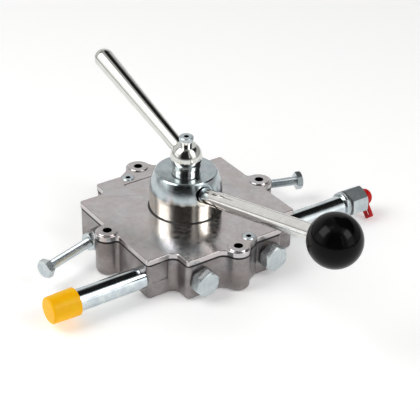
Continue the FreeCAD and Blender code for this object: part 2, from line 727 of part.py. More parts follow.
def hub():
    bore = spindle_radius + 0.5
    drum = turned("drum", (
        (bore, shank_bottom), (shank_radius, shank_bottom), (shank_radius, hub_shoulder),
        (hub_radius, hub_shoulder), (hub_radius, hub_bend, hub_curve), (hub_top_radius, hub_top - hub_rim),
        (hub_top_radius - hub_rim, hub_top), (bore, hub_top)))
    beyond = hub_radius
    tools = [
        rod("lever_face", lever_point(lever_face_start), lever_face, beyond, LEVER_OUT),
        rod("lever_mouth", lever_point(lever_shoulder - 0.4), lever_mouth, beyond, LEVER_OUT),
        rod("lever_thread", lever_point(lever_start - 0.4), lever_thread, beyond, LEVER_OUT),
        box("hub_keyway", (key_width / -2, key_inner, key_bottom), (key_width, key_inner, key_length)),
    ]
    node(cut("hub_piece", drum, *tools), "hub")


def hub_bearings():
    inner = hub_radius + running_gap
    outer = bearing_radius - fixed_gap
    node(ring("bush_upper", inner, outer, cover_bottom + face_gap, seal_bottom - face_gap), "upper_bush")
    node(turned("seal", (
        (inner, seal_bottom), (outer, seal_bottom), (outer, cover_top + 0.2), (outer - 0.5, cover_top + 0.6),
        (inner, cover_top + 0.3))), "hub_seal_ring")
    node(ring("bush_lower", shank_radius + running_gap, shank_radius + bush_wall - fixed_gap,
              bush_bottom, floor_boss_top), "lower_bush")
    disc_bottom = floor_boss_top + face_gap / 2
    node(ring("disc_friction", friction_bore, friction_radius, disc_bottom, disc_bottom + friction_thickness),
         "friction_disc")
    key = box(
        "key", (fixed_gap - key_width / 2, key_inner + face_gap, key_bottom + face_gap),
        (key_width - fixed_gap * 2, key_outer - key_inner - face_gap * 2, key_length - face_gap * 7))
    node(group("key_piece", key), "shaft_key")


def pinion_segment():
    """Plate with involute teeth towards the rack and a stop lug on the far side."""
    m, rp, thick = tooth_module.value, pitch_radius.value, pinion_thickness.value
    pressure = math.radians(PRESSURE_ANGLE)
    base = rp * math.cos(pressure)
    root, tip = rp - 1.25 * m, rp + 0.95 * m
    pitch_angle = 2 * math.pi / PINION_TEETH
    half_pitch = pitch_angle / 4 - BACKLASH / (2 * rp)

    def involute(angle):
        return math.tan(angle) - angle

    def half_width(radius):
        """Half the angle that a tooth spans at a radius."""
        angle = math.acos(min(1.0, base / max(radius, base)))
        return half_pitch + involute(pressure) - involute(angle)

    def polar(radius, angle):
        return Vector(radius * math.cos(angle), radius * math.sin(angle), 0)

    def tooth(centre):
        foot = root - 1
        spans = [(r, half_width(r)) for r in (base, rp, tip)]
        low_side = [polar(r, centre - a) for r, a in spans]
        high_side = [polar(r, centre + a) for r, a in spans]
        low_foot = polar(foot, centre - spans[0][1])
        high_foot = polar(foot, centre + spans[0][1])
        edges = [
            Part.Arc(*low_side).toShape(),
            Part.LineSegment(low_side[2], high_side[2]).toShape(),
            Part.Arc(*reversed(high_side)).toShape(),
            Part.LineSegment(high_side[0], high_foot).toShape(),
            Part.LineSegment(high_foot, low_foot).toShape(),
            Part.LineSegment(low_foot, low_side[0]).toShape(),
        ]
        return Part.Face(Part.Wire(Part.__sortEdges__(edges))).extrude(Vector(0, 0, thick))

    reach = math.degrees((SIDE_TEETH + 0.5) * pitch_angle)
    shape = Part.makeCylinder(root, thick, Vector(0, 0, 0), Vector(0, 0, 1), 2 * reach)
    shape.rotate(Vector(0, 0, 0), Vector(0, 0, 1), -90 - reach)
    shape = shape.fuse(Part.makeCylinder(friction_radius.value, thick))
    for k in range(-SIDE_TEETH, SIDE_TEETH + 1):
        shape = shape.fuse(tooth(-math.pi / 2 + k * pitch_angle))
    width = lug_width.value
    lug_start = shank_radius.value
    lug = Part.makeBox(width, lug_reach.value - lug_start, thick, Vector(-width / 2, lug_start, 0))
    shape = shape.fuse(lug)
    height = (hub_shoulder - face_gap - segment_bottom).value
    shape = shape.fuse(Part.makeCylinder(segment_hub.value, height))
    through = height * 2
    shape = shape.cut(Part.makeCylinder(shank_radius.value + fixed_gap.value, through))
    slot = key_width.value
    shape = shape.cut(Part.makeBox(slot, key_outer.value, through, Vector(-slot / 2, 0, 0)))
    shape = shape.removeSplitter()
    obj = doc.addObject("Part::Feature", "segment")
    obj.Shape = shape
    node(obj, "pinion_segment", Placement(Vector(0, 0, segment_bottom.value), Rotation()))


# ---------------------------------------------------------------- rack, tubes and guides

def rack_bar():
    """Round bar with straight teeth cut across the side that faces the segment."""
    bar = rod("rack_round", (-rack_half, -rack_offset, rack_level), rack_radius, rack_half * 2, (1, 0, 0))
    across = rack_radius * 3
    below = rack_level - across / 2
    tools = [box("rack_flat", (-rack_toothed, -pitch_radius + tooth_module, below),
                 (rack_toothed * 2, rack_radius, across))]
    pitch = math.pi * tooth_module.value
    lean = math.tan(math.radians(PRESSURE_ANGLE))
    rise, fall = tooth_module.value + 1, 1.25 * tooth_module.value
    gap = pitch / 4
    profile = [
        Vector(-gap - rise * lean, rise, 0), Vector(-gap + fall * lean, -fall, 0),
        Vector(gap - fall * lean, -fall, 0), Vector(gap + rise * lean, rise, 0),
    ]
    slot = Part.Face(Part.makePolygon(profile + profile[:1])).extrude(Vector(0, 0, across.value))
    half_count = int((rack_toothed.value - gap) / pitch)
    for k in range(-half_count, half_count + 1):
        tooth_gap = doc.addObject("Part::Feature", f"rack_gap{k + half_count}")
        tooth_gap.Shape = slot
        tooth_gap.Placement = Placement(Vector(k * pitch, -pitch_radius.value, below.value), Rotation())
        tools.append(tooth_gap)
    tools.append(rod("rack_core_hole", (rack_half - rack_hole_depth, -rack_offset, rack_level), rack_hole,
                     rack_hole_depth + OVERCUT, (1, 0, 0)))
    node(cut("rack_piece", bar, *tools), "rack_bar")


def rack_axis(side, distance=0.0):
    """Placement along the rack's axis, pointing outwards on one side."""
    offset = as_dim(distance).value * side
    return pointed((side, 0, 0), (offset, -rack_offset, rack_level))


def tubes():
    spigot = wing_half - spigot_length
    thread = spigot_radius - fixed_gap
    root = ((tube_bore, spigot), (thread, spigot), (thread, wing_half), (tube_radius, wing_half))
    edge = 0.6
    node(turned("tube_left", (
        *root, (tube_radius, left_tube_end - edge), (tube_radius - edge, left_tube_end),
        (tube_bore, left_tube_end))), "left_rack_tube", rack_axis(-1))
    node(turned("tube_right", (
        *root, (tube_radius, right_tube_shoulder), (right_thread, right_tube_shoulder),
        (right_thread, right_tube_end), (tube_bore, right_tube_end))), "right_rack_tube", rack_axis(1))
    bushes = []
    for side, word in ((-1, "left"), (1, "right")):
        bush = ring(f"rack_bush_{word}", rack_radius + running_gap, thread, bush_start, spigot - face_gap)
        bush.Placement = rack_axis(side)
        bushes.append(bush)
    node(group("rack_bush_pair", *bushes), "rack_bushes")


def tube_fittings():
    """Grooved collar, lock washer and union nut on the right tube's thread."""
    start = right_tube_shoulder + running_gap
    end = right_tube_shoulder + collar_length
    bore = right_thread + fixed_gap
    edge = 0.6
    groove = 0.9
    first, last = start + collar_length * 0.42, end - collar_length * 0.26
    node(turned("collar", (
        (bore, start), (collar_radius - edge, start), (collar_radius, start + edge), (collar_radius, first),
        (collar_radius - groove, first + edge), (collar_radius - groove, last - edge), (collar_radius, last),
        (collar_radius, end - edge), (collar_radius - edge, end), (bore, end))),
        "tube_collar", rack_axis(1))
    node(ring("washer_lock", bore + face_gap, collar_radius - groove - face_gap, end + face_gap,
              nut_start - face_gap), "tube_lock_washer", rack_axis(1))
    blank = chamfered_hexagon("union_hexagon", nut_flats, nut_end - nut_start)
    thread_depth = right_tube_end - nut_start + face_gap * 3
    nut = cut(
        "union_nut_piece", blank, rod("union_thread", (0, 0, -OVERCUT), bore, thread_depth + OVERCUT),
        rod("union_mouth", (0, 0, 0), nut_mouth, nut_end - nut_start + OVERCUT))
    node(nut, "union_nut", pointed((1, 0, 0), (nut_start, -rack_offset, rack_level), -5))


def closures():
    """The yellow cap on the left tube and the red plug in the union nut."""
    bore = tube_radius + running_gap
    floor = left_tube_end + 0.5
    node(turned("cap_shell", (
        (bore, cap_mouth), (cap_radius - mouth_round, cap_mouth, mouth_round),
        (cap_radius, cap_mouth + mouth_round), (cap_end_radius, cap_end - cap_round, cap_round),
        (cap_end_radius - cap_round, cap_end), (0, cap_end), (0, floor), (bore, floor))),
        "protective_cap", rack_axis(-1))
    stem = nut_mouth - 0.08
    face = nut_end + 0.2
    shoulder = face + 6.5
    crown = red_head - 1.6
    head = turned("plug_body", (
        (0, nut_end - 6.5), (stem - 0.5, nut_end - 6.5), (stem, nut_end - 5.5), (stem, face),
        (red_head, face),
        (red_head, shoulder, 4.6), (crown, shoulder + 3.6, 6.5), (crown - 3.4, shoulder + 5.7),
        (0, shoulder + 5.9)))
    tag_start = red_head - 2.0
    tag = box("plug_tag", (tag_width / -2, tag_start, face + 0.8),
              (tag_width, tag_reach - tag_start, tag_thickness))
    tag = rounded("plug_tag_round", tag, tag_corner,
                  lambda edge: is_upright(edge) and edge.Vertexes[0].Y > red_head.value)
    slot_start = red_head + 2.6
    slot = box(
        "plug_slot", (tag_band - tag_width / 2, slot_start, nut_end),
        (tag_width - tag_band * 2, tag_reach - tag_band - slot_start, tag_thickness * 3))
    piece = fuse("plug_piece", head, cut("plug_loop", tag, slot))
    node(piece, "red_plug", pointed((1, 0, 0), (0, -rack_offset, rack_level), 50))


def disc_stack(name, pairs):
    """A column of disc springs, stacked back to back."""
    wide = spring_radius - spring_wall
    outer = []
    inner = []
    for i in range(pairs):
        level = spring_pitch * i
        outer += [(spring_bore + spring_wall, level), (spring_radius, spring_pitch / 2 + level)]
        inner += [(spring_bore, level), (wide, spring_pitch / 2 + level)]
    outer.append((spring_bore + spring_wall, spring_pitch * pairs))
    inner.append((spring_bore, spring_pitch * pairs))
    return turned(name, (*outer, *reversed(inner)))


def guides():
    """Two spring-loaded guides that press on the rack's smooth back through M16 plugs."""
    yokes, springs, plugs, washers = [], [], [], []
    pocket = spring_start - spring_pitch * 4 - face_gap
    pocket_depth = yoke_length - yoke_start + pocket
    for side, word, roll in ((-1, "left", -15), (1, "right", 0)):
        x = guide_spacing * side
        wall = guide_yoke - 2.0
        edge = 0.5
        yoke = turned(f"yoke_{word}", (
            (wall, 0), (guide_yoke, 0), (guide_yoke, yoke_length - edge), (guide_yoke - edge, yoke_length),
            (0, yoke_length), (0, yoke_length - pocket_depth), (wall, yoke_length - pocket_depth)))
        yoke.Placement = pointed((0, 1, 0), (x, -yoke_start, rack_level))
        yokes.append(yoke)
        spring = disc_stack(f"spring_{word}", 4)
        spring.Placement = pointed((0, 1, 0), (x, -spring_start, rack_level))
        springs.append(spring)
        bolt_head = chamfered_hexagon(f"plug_head_{word}", plug_flats, plug_head)
        shank = rod(f"plug_shank_{word}", (0, 0, -plug_shank), guide_radius - running_gap,
                    plug_shank + OVERCUT)
        plug = fuse(f"plug_{word}", bolt_head, shank)
        seat = -waist_front - washer_thickness
        plug.Placement = pointed((0, -1, 0), (x, seat, rack_level), roll)
        plugs.append(plug)
        washer = ring(f"plug_washer_{word}", guide_radius + face_gap, washer_radius, 0, washer_thickness)
        washer.Placement = pointed((0, -1, 0), (x, -waist_front, rack_level))
        washers.append(washer)
    node(group("yoke_pair", *yokes), "guide_yokes")
    node(group("spring_pair", *springs), "guide_springs")
    node(group("plug_pair", *plugs), "guide_plugs")
    node(group("plug_washer_pair", *washers), "plug_washers")


def stop_screws():
    screws, nuts = [], []
    thread_radius = screw_radius - fixed_gap
    tip_radius = screw_radius - 2.0
    edge_radius = screw_radius - 0.8
    for side, word, tip in ((-1, "left", left_tip), (1, "right", right_tip)):
        foot, outward = screw_axis(side)
        start = along(foot, outward, tip + screw_length)
        thread = turned(f"stop_thread_{word}", (
            (0, -screw_length), (tip_radius, -screw_length), (edge_radius, 0.6 - screw_length),
            (thread_radius, 2.4 - screw_length), (thread_radius, OVERCUT), (0, OVERCUT)))
        head = chamfered_hexagon(f"stop_head_{word}", screw_flats, screw_hex)
        screw = fuse(f"stop_screw_{word}", thread, head)
        screw.Placement = pointed(outward, start, 20)
        screws.append(screw)
        blank = chamfered_hexagon(f"lock_nut_blank_{word}", screw_flats, lock_nut)
        bore = rod(f"lock_nut_bore_{word}", (0, 0, -OVERCUT), screw_radius, lock_nut + OVERCUT * 2)
        nut = cut(f"lock_nut_{word}", blank, bore)
        nut.Placement = pointed(outward, along(foot, outward, nut_seat))
        nuts.append(nut)
    node(group("stop_screw_pair", *screws), "stop_screws")
    node(group("lock_nut_pair", *nuts), "stop_lock_nuts")


# ---------------------------------------------------------------- levers and clamp

def control_lever():
    """The rod, screwed into the hub, and the ball knob on the stud at its far end."""
    stud_start = lever_reach - knob_flat
    stud_end = stud_start + stud_length
    thread = lever_thread - fixed_gap
    edge = 0.8
    node(turned("lever_rod", (
        (0, lever_start), (thread - edge, lever_start), (thread, lever_start + edge),
        (thread, lever_shoulder),
        (lever_radius, lever_shoulder), (lever_radius, stud_start - edge / 2),
        (lever_radius - edge / 2, stud_start), (stud_radius, stud_start), (stud_radius, stud_end),
        (0, stud_end))), "control_lever", pointed(LEVER_OUT, (0, 0, lever_level)))
    knob = cut(
        "knob_piece", ball("knob_ball", (0, 0, lever_reach), knob_radius),
        rod("knob_face", (0, 0, stud_start - knob_radius), knob_radius, knob_radius),
        rod("knob_bore", (0, 0, stud_start - OVERCUT), stud_radius + fixed_gap, stud_length + OVERCUT * 2))
    node(knob, "ball_knob", pointed(LEVER_OUT, (0, 0, lever_level)))


def clamp_spindle():
    """The fixed spindle with the washers below the clamp ball and the cap screw above it."""
    sunk = 0.6
    edge = 0.7
    hole = spindle_hole + fixed_gap
    hole_end = spindle_top - spindle_hole_depth
    node(turned("spindle", (
        (0, sunk), (spindle_head - edge, sunk), (spindle_head, sunk + edge), (spindle_head, spindle_head_top),
        (spindle_radius, spindle_head_top), (spindle_radius, spindle_top), (hole, spindle_top),
        (hole, hole_end), (0, hole_end))), "clamp_spindle")
    washer_top = hub_top + face_gap + thrust_thickness
    node(ring("washer_thrust", spindle_radius + 0.3, thrust_radius, hub_top + face_gap, washer_top),
         "thrust_washer")
    spring_bottom = washer_top + face_gap
    dish = 0.5
    metal = 1.6
    node(turned("washer_spring", (
        (spindle_radius + 0.4, spring_bottom + dish), (disc_radius, spring_bottom),
        (disc_radius, spring_bottom + metal), (spindle_radius + 0.4, spring_bottom + dish + metal))),
        "disc_spring")
    head = spindle_top + spacer_height
    node(ring("spacer", spindle_hole + 0.3, spacer_radius, spindle_top + face_gap, head), "spindle_spacer")
    bevel = 0.6
    crown = cap_screw_height - bevel
    thread = spindle_hole - fixed_gap
    screw = turned("cap_screw", (
        (0, hole_end + 1.0), (thread, hole_end + 1.0), (thread, head), (cap_screw_head, head),
        (cap_screw_head, head + crown), (cap_screw_head - bevel, head + cap_screw_height),
        (0, head + cap_screw_height)))
    socket = hexagon("cap_screw_socket", cap_socket, cap_socket_depth + OVERCUT)
    locate(socket, 0, 0, head + cap_screw_height - cap_socket_depth)
    node(cut("cap_screw_piece", screw, socket), "spindle_cap_screw")


def clamp_lever():
    """The clamp ball with its tapered arm, drilled for the spindle."""
    rise, turn = math.radians(ARM_RISE), math.radians(90 + ARM_TURN)
    out = (math.cos(rise) * math.cos(turn), math.cos(rise) * math.sin(turn), math.sin(rise))
    centre = (0, 0, clamp_level)
    body = fuse(
        "clamp_body", ball("clamp_ball", centre, clamp_radius),
        rod("clamp_skirt", (0, 0, clamp_base), clamp_skirt, clamp_level - clamp_base - clamp_skirt / 3),
        cone("clamp_arm", along(centre, out, arm_start), arm_root_radius, arm_end_radius,
             arm_reach - arm_start, out),
        ball("clamp_arm_end", along(centre, out, arm_reach), arm_end_radius))
    height = clamp_radius * 2
    piece = cut(
        "clamp_piece", body,
        rod("clamp_under", (0, 0, clamp_base - height), clamp_radius, height),
        rod("clamp_flat", (0, 0, spindle_top), clamp_radius * 0.75, height),
        rod("clamp_bore", (0, 0, clamp_base - OVERCUT), spindle_radius + 0.06, height))
    node(piece, "clamp_lever")


# ---------------------------------------------------------------- build and write

lower_housing()
top_cover()
cover_gasket()
cover_screws()
dowel_pins()
hub()
hub_bearings()
pinion_segment()
rack_bar()
tubes()
tube_fittings()
closures()
guides()
stop_screws()
control_lever()
clamp_spindle()
clamp_lever()
doc.recompute()

problems = [
    f"{obj.Label}: {obj.State}" for obj in doc.Objects
    if "Invalid" in obj.State or "Error" in obj.State
]
problems += [
    f"{obj.Label}: bad shape" for obj in NODES
    if obj.Shape.isNull() or not obj.Shape.isValid() or not obj.Shape.Solids
]
if problems:
    raise RuntimeError("; ".join(problems))

os.makedirs("parts", exist_ok=True)
for obj in NODES:
    obj.Shape.exportStep(f"parts/{obj.Label}.step")
    print(f"{obj.Label:20s} solids {len(obj.Shape.Solids)}  volume {obj.Shape.Volume / 1000:9.2f} cm3")
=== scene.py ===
import math

import bmesh
import bpy
from mathutils import Matrix, Vector


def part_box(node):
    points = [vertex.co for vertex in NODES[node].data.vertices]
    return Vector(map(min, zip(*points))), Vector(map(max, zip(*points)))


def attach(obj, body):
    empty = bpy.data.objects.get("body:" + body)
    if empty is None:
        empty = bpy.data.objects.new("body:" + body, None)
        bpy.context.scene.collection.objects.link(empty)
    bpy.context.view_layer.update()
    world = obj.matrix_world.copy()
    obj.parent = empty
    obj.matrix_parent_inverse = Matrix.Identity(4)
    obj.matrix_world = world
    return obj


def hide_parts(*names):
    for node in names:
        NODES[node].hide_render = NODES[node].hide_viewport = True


# Lever-operated rotary control unit. Lengths are in metres; MM turns a drawing size into metres.
# The rack runs along ALONG, at 45 degrees to X and Y, and the hub turns about Z.

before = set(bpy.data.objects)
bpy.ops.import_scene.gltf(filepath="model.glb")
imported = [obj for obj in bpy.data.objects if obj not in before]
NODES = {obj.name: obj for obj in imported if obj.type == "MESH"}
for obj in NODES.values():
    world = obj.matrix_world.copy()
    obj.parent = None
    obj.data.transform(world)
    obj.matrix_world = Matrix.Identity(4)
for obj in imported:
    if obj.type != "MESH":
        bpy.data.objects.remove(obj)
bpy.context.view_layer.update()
MM = 0.001
HALF = math.sqrt(0.5)
ALONG = Vector((HALF, HALF, 0))
ACROSS = Vector((-HALF, HALF, 0))
UP = Vector((0, 0, 1))
CAMERA_HEADING = math.radians(10.0)
MOUNT = 65 * MM              # the four mounting holes' X and Y
BORE_WALL = 4.52 * MM        # radius within which a mounting hole is painted near black as shade
BORE_RIM = 4.6 * MM          # radius from which it isn't
COVER_SHADE_BAND = 40.0 * MM, 40.4 * MM      # heights between which the painted shade along the cover's joint line fades out
CASTING_SHADE_BAND = 37.7 * MM, 38.2 * MM    # heights between which the painted shade along the casting's joint line fades in
# Painted shade: near-black colour laid on the aluminium on both sides of the cover joint, where shade
# falls between the parts.
PAINTED_JOINT_SHADE = (0.03, 0.028, 0.028)


def place(u, v, z):
    """A point given in mm along the rack, across it and up."""
    return (ALONG * u + ACROSS * v + UP * z) * MM


# ---------------------------------------------------------------- materials

class Finish:
    """A procedural material under construction, with sizes in metres of the part."""

    def __init__(self, name, colour, roughness, metallic=0.0, **sockets):
        self.material = bpy.data.materials.new(name)
        self.material.use_nodes = True
        self.tree = self.material.node_tree
        self.shader = self.tree.nodes["Principled BSDF"]
        self.where = self.tree.nodes.new("ShaderNodeTexCoord").outputs["Object"]
        self.shader.inputs["Base Color"].default_value = (*colour, 1)
        self.shader.inputs["Roughness"].default_value = roughness
        self.shader.inputs["Metallic"].default_value = metallic
        for socket, value in sockets.items():
            self.shader.inputs[socket.replace("_", " ")].default_value = value

    def add(self, kind, inputs=(), **settings):
        node = self.tree.nodes.new(kind)
        for name, value in settings.items():
            setattr(node, name, value)
        for socket, value in inputs:
            if isinstance(value, bpy.types.NodeSocket):
                self.tree.links.new(value, node.inputs[socket])
            else:
                node.inputs[socket].default_value = value
        return node

    def stretched(self, direction, factor):
        """Coordinates squeezed along direction, so that a pattern is drawn out along it by factor."""
        turn = Vector((1, 0, 0)).rotation_difference(Vector(direction)).inverted().to_euler()
        turned = self.add("ShaderNodeMapping", (("Vector", self.where), ("Rotation", turn)))
        return self.add("ShaderNodeMapping", (
            ("Vector", turned.outputs[0]), ("Scale", (1 / factor, 1, 1)))).outputs[0]

    def noise(self, size, detail=3.0, where=None, lacunarity=2.0):
        node = self.add("ShaderNodeTexNoise", (
            ("Vector", where or self.where), ("Scale", 1 / size), ("Detail", detail),
            ("Lacunarity", lacunarity)))
        return node.outputs["Fac"]

    def span(self, value, low, high, start=0.35, end=0.65):
        """Maps value from start..end to low..high."""
        node = self.add("ShaderNodeMapRange", (
            ("Value", value), ("From Min", start), ("From Max", end), ("To Min", low), ("To Max", high)))
        return node.outputs[0]

    def blend(self, factor, first, second):
        """Mixes two colours, each a tuple or a socket."""
        node = self.add("ShaderNodeMix", data_type="RGBA")
        self.tree.links.new(factor, node.inputs[0])
        for index, value in ((6, first), (7, second)):
            if isinstance(value, bpy.types.NodeSocket):
                self.tree.links.new(value, node.inputs[index])
            else:
                node.inputs[index].default_value = (*value, 1)
        return node.outputs[2]

    def calc(self, operation, first, second=0.0):
        return self.add("ShaderNodeMath", ((0, first), (1, second)), operation=operation).outputs[0]

    def dot(self, vector, direction):
        node = self.add("ShaderNodeVectorMath", ((0, vector), (1, direction)), operation="DOT_PRODUCT")
        return node.outputs["Value"]

    def length(self, vector, flat=False):
        """Distance from the origin, or from the Z axis where flat is true."""
        if flat:
            vector = self.add(
                "ShaderNodeVectorMath", ((0, vector), (1, (1, 1, 0))), operation="MULTIPLY").outputs[0]
        return self.add("ShaderNodeVectorMath", ((0, vector), ), operation="LENGTH").outputs["Value"]

    def shifted(self, offset, fold=False):
        """Coordinates from offset; fold first mirrors all four quarters onto one."""
        where = self.where
        if fold:
            where = self.add("ShaderNodeVectorMath", ((0, where), ), operation="ABSOLUTE").outputs[0]
        return self.add(
            "ShaderNodeVectorMath", ((0, where), (1, offset)), operation="SUBTRACT").outputs[0]

    def height(self):
        return self.add("ShaderNodeSeparateXYZ", (("Vector", self.where),)).outputs["Z"]

    def stroke(self, start, end, width):
        """1 on a thin straight mark from start to end, fading out at both ends."""
        run = Vector(end) - Vector(start)
        sideways = run.cross(UP).normalized()
        local = self.shifted(start)
        off = self.calc("ABSOLUTE", self.dot(local, sideways))
        share = self.calc("DIVIDE", self.dot(local, run.normalized()), run.length)
        ends = self.calc("MULTIPLY", self.span(share, 0, 1, 0, 0.2), self.span(share, 1, 0, 0.8, 1))
        return self.calc("MULTIPLY", self.span(off, 1, 0, width * 0.3, width), ends)

    def colour(self, socket):
        self.tree.links.new(socket, self.shader.inputs["Base Color"])
        return self

    def rough(self, socket):
        self.tree.links.new(socket, self.shader.inputs["Roughness"])
        return self

    def bump(self, height, depth, strength=1.0):
        """Stacks one more layer of relief, depth metres from lowest to highest."""
        inputs = [("Height", height), ("Distance", depth), ("Strength", strength)]
        if self.shader.inputs["Normal"].links:
            inputs.append(("Normal", self.shader.inputs["Normal"].links[0].from_socket))
        node = self.add("ShaderNodeBump", inputs)
        self.tree.links.new(node.outputs[0], self.shader.inputs["Normal"])
        return self


def aluminium(name, skin, bright, roughness, grain_depth, metallic=0.9, speck=0.45):
    """Cast aluminium: grey mottling with a warm cast, specks as dark as speck times the skin, and painted
    shade in the mounting holes.

    The caller adds to finish.shade and makes it the colour.
    """
    finish = Finish(name, skin, roughness, metallic)
    mottle = finish.span(finish.noise(14 * MM, 6), 0, 1, 0.3, 0.7)
    warm = (skin[0] * 1.06, skin[1] * 0.97, skin[2] * 0.93)
    shade = finish.blend(mottle, skin, bright)
    shade = finish.blend(finish.span(finish.noise(23 * MM, 4), 0, 0.7), shade, warm)
    specks = finish.span(finish.noise(1.3 * MM, 2), 0, 0.55, 0.58, 0.74)
    shade = finish.blend(specks, shade, tuple(c * speck for c in skin))
    finish.shade = shade
    finish.rough(finish.span(finish.noise(5 * MM, 5), roughness - 0.05, roughness + 0.08))
    finish.bump(finish.noise(0.6 * MM, 2), grain_depth)
    # Painted shade: within radius BORE_WALL of each mounting hole the colour goes near black, standing in
    # for the shade in the bore.
    bores = finish.length(finish.shifted((MOUNT, MOUNT, 0), fold=True), flat=True)
    painted_bore_shade = finish.span(bores, 1, 0, BORE_WALL, BORE_RIM)
    finish.shade = finish.blend(painted_bore_shade, finish.shade, (0.012, 0.011, 0.011))
    return finish


def machined_cover(name):
    """The cover: machined aluminium with two stray marks, smooth enough to mirror the hub."""
    finish = aluminium(
        name, (0.52, 0.505, 0.515), (0.61, 0.595, 0.605), roughness=0.19, grain_depth=0.006 * MM,
        metallic=0.97, speck=0.72)
    scratch = finish.stroke(place(-16.6, -38.3, 0), place(-64.1, -57.8, 0), 0.35 * MM)
    # A faint dark line is blended into the colour only, from (-68, 60) to (-18, 36); no relief is
    # modelled there.
    dark_line = finish.stroke(place(-68, 60, 0), place(-18, 36, 0), 0.5 * MM)
    finish.shade = finish.blend(finish.calc("MULTIPLY", scratch, 0.6), finish.shade, (0.75, 0.74, 0.74))
    finish.shade = finish.blend(finish.calc("MULTIPLY", dark_line, 0.35), finish.shade, (0.2, 0.19, 0.19))
    lines = finish.noise(0.35 * MM, 3, finish.stretched(ALONG, 40))
    finish.bump(lines, 0.003 * MM)
    # Painted shade: the cover's lowest band, at the joint, is coloured near black.
    joint_shade = finish.span(finish.height(), 1, 0, *COVER_SHADE_BAND)
    finish.shade = finish.blend(joint_shade, finish.shade, PAINTED_JOINT_SHADE)
    return finish.colour(finish.shade)


def rough_casting(name):
    """The casting: darker and rougher than the cover, with gentle waves."""
    finish = aluminium(name, (0.22, 0.205, 0.205), (0.42, 0.40, 0.40), 0.33, 0.07 * MM, 0.9)
    finish.bump(finish.noise(7 * MM, 3), 0.15 * MM, 0.5)
    # Painted shade: the casting's top band, at the joint, is coloured near black.
    joint_shade = finish.span(finish.height(), 0, 1, *CASTING_SHADE_BAND)
    finish.shade = finish.blend(joint_shade, finish.shade, PAINTED_JOINT_SHADE)
    return finish.colour(finish.shade)


def zinc(name, drawn=None, roughness=0.24, tone=1.0, socket=None):
    """Zinc-plated steel: bluish, with a faint yellow passivation cast.

    drawn gives fine lines along a direction. socket is the radius round Z and the height under which the
    interior of a hexagon socket is painted near black as shade.
    """
    base = tuple(c * tone for c in (0.56, 0.62, 0.66))
    finish = Finish(name, base, roughness, 1.0)
    cast = finish.span(finish.noise(9 * MM, 5), 0, 1)
    grain = finish.span(finish.noise(1.1 * MM, 4), 0, 0.5)
    shade = finish.blend(cast, tuple(c * tone for c in (0.48, 0.54, 0.58)), tuple(
        c * tone for c in (0.66, 0.70, 0.70)))
    shade = finish.blend(grain, shade, tuple(c * tone for c in (0.42, 0.47, 0.50)))
    # Painted shade: below the socket's given height, and within its radius where one is given, the colour
    # goes near black.
    if socket is not None:
        radius, top = socket
        socket_shade = finish.span(finish.height(), 1, 0, top - 0.1 * MM, top)
        if radius:
            near = finish.span(finish.length(finish.where, flat=True), 1, 0, radius - 0.05 * MM, radius)
            socket_shade = finish.calc("MULTIPLY", socket_shade, near)
        shade = finish.blend(socket_shade, shade, (0.015, 0.016, 0.018))
    finish.colour(shade)
    where = finish.stretched(drawn, 30) if drawn is not None else None
    lines = finish.noise(0.5 * MM, 3, where)
    finish.rough(finish.span(lines, roughness - 0.06, roughness + 0.1))
    finish.bump(lines, 0.012 * MM)
    return finish


def polished(name, colour=(0.82, 0.81, 0.79), roughness=0.08):
    """Polished steel with light wear."""
    finish = Finish(name, colour, roughness, 1.0)
    wear = finish.noise(6 * MM, 5)
    finish.rough(finish.span(wear, roughness - 0.03, roughness + 0.05))
    finish.colour(finish.blend(finish.span(wear, 0, 1), colour, tuple(c * 0.92 for c in colour)))
    finish.bump(finish.noise(3 * MM, 3), 0.005 * MM)
    return finish


def turned_steel(name, change_height):
    """Hub finish: zinc above change_height, bare turned steel with fine rings below it."""
    finish = Finish(name, (0.5, 0.56, 0.6), 0.2, 1.0)
    height = finish.height()
    ragged = finish.calc("ADD", height, finish.span(finish.noise(6 * MM, 4), -0.25 * MM, 0.25 * MM))
    bare = finish.span(ragged, 1, 0, change_height - 0.8 * MM, change_height + 0.8 * MM)
    cast = finish.span(finish.noise(8 * MM, 5), 0, 1)
    pink = finish.span(finish.noise(11 * MM, 4), 0, 0.6, 0.5, 0.72)
    plated = finish.blend(cast, (0.40, 0.46, 0.49), (0.50, 0.56, 0.58))
    plated = finish.blend(pink, plated, (0.52, 0.45, 0.50))
    finish.colour(finish.blend(bare, plated, (0.78, 0.75, 0.68)))
    rings = finish.calc("SINE", finish.calc("MULTIPLY", height, 2 * math.pi / (0.35 * MM)))
    blotch = finish.span(finish.noise(2.5 * MM, 4), 0.13, 0.2)
    finish.rough(finish.calc("SUBTRACT", blotch, finish.calc("MULTIPLY", bare, 0.08)))
    finish.bump(rings, 0.003 * MM)
    finish.bump(finish.noise(1.2 * MM, 3), 0.006 * MM)
    return finish


def dark_metal(name, colour, roughness=0.4):
    """Plain metal for the smaller and inner pieces."""
    finish = Finish(name, colour, roughness, 1.0)
    finish.rough(finish.span(finish.noise(2 * MM, 3), roughness - 0.08, roughness + 0.1))
    finish.bump(finish.noise(0.8 * MM, 2), 0.015 * MM)
    return finish


def plastic(name, colour, deep, roughness, **sockets):
    """Moulded plastic: slight colour drift, fine orange peel."""
    finish = Finish(name, colour, roughness, 0.0, **sockets)
    drift = finish.span(finish.noise(9 * MM, 3), 0, 1)
    finish.colour(finish.blend(drift, colour, deep))
    finish.rough(finish.span(finish.noise(1.5 * MM, 3), roughness - 0.05, roughness + 0.08))
    finish.bump(finish.noise(0.9 * MM, 2), 0.02 * MM)
    return finish


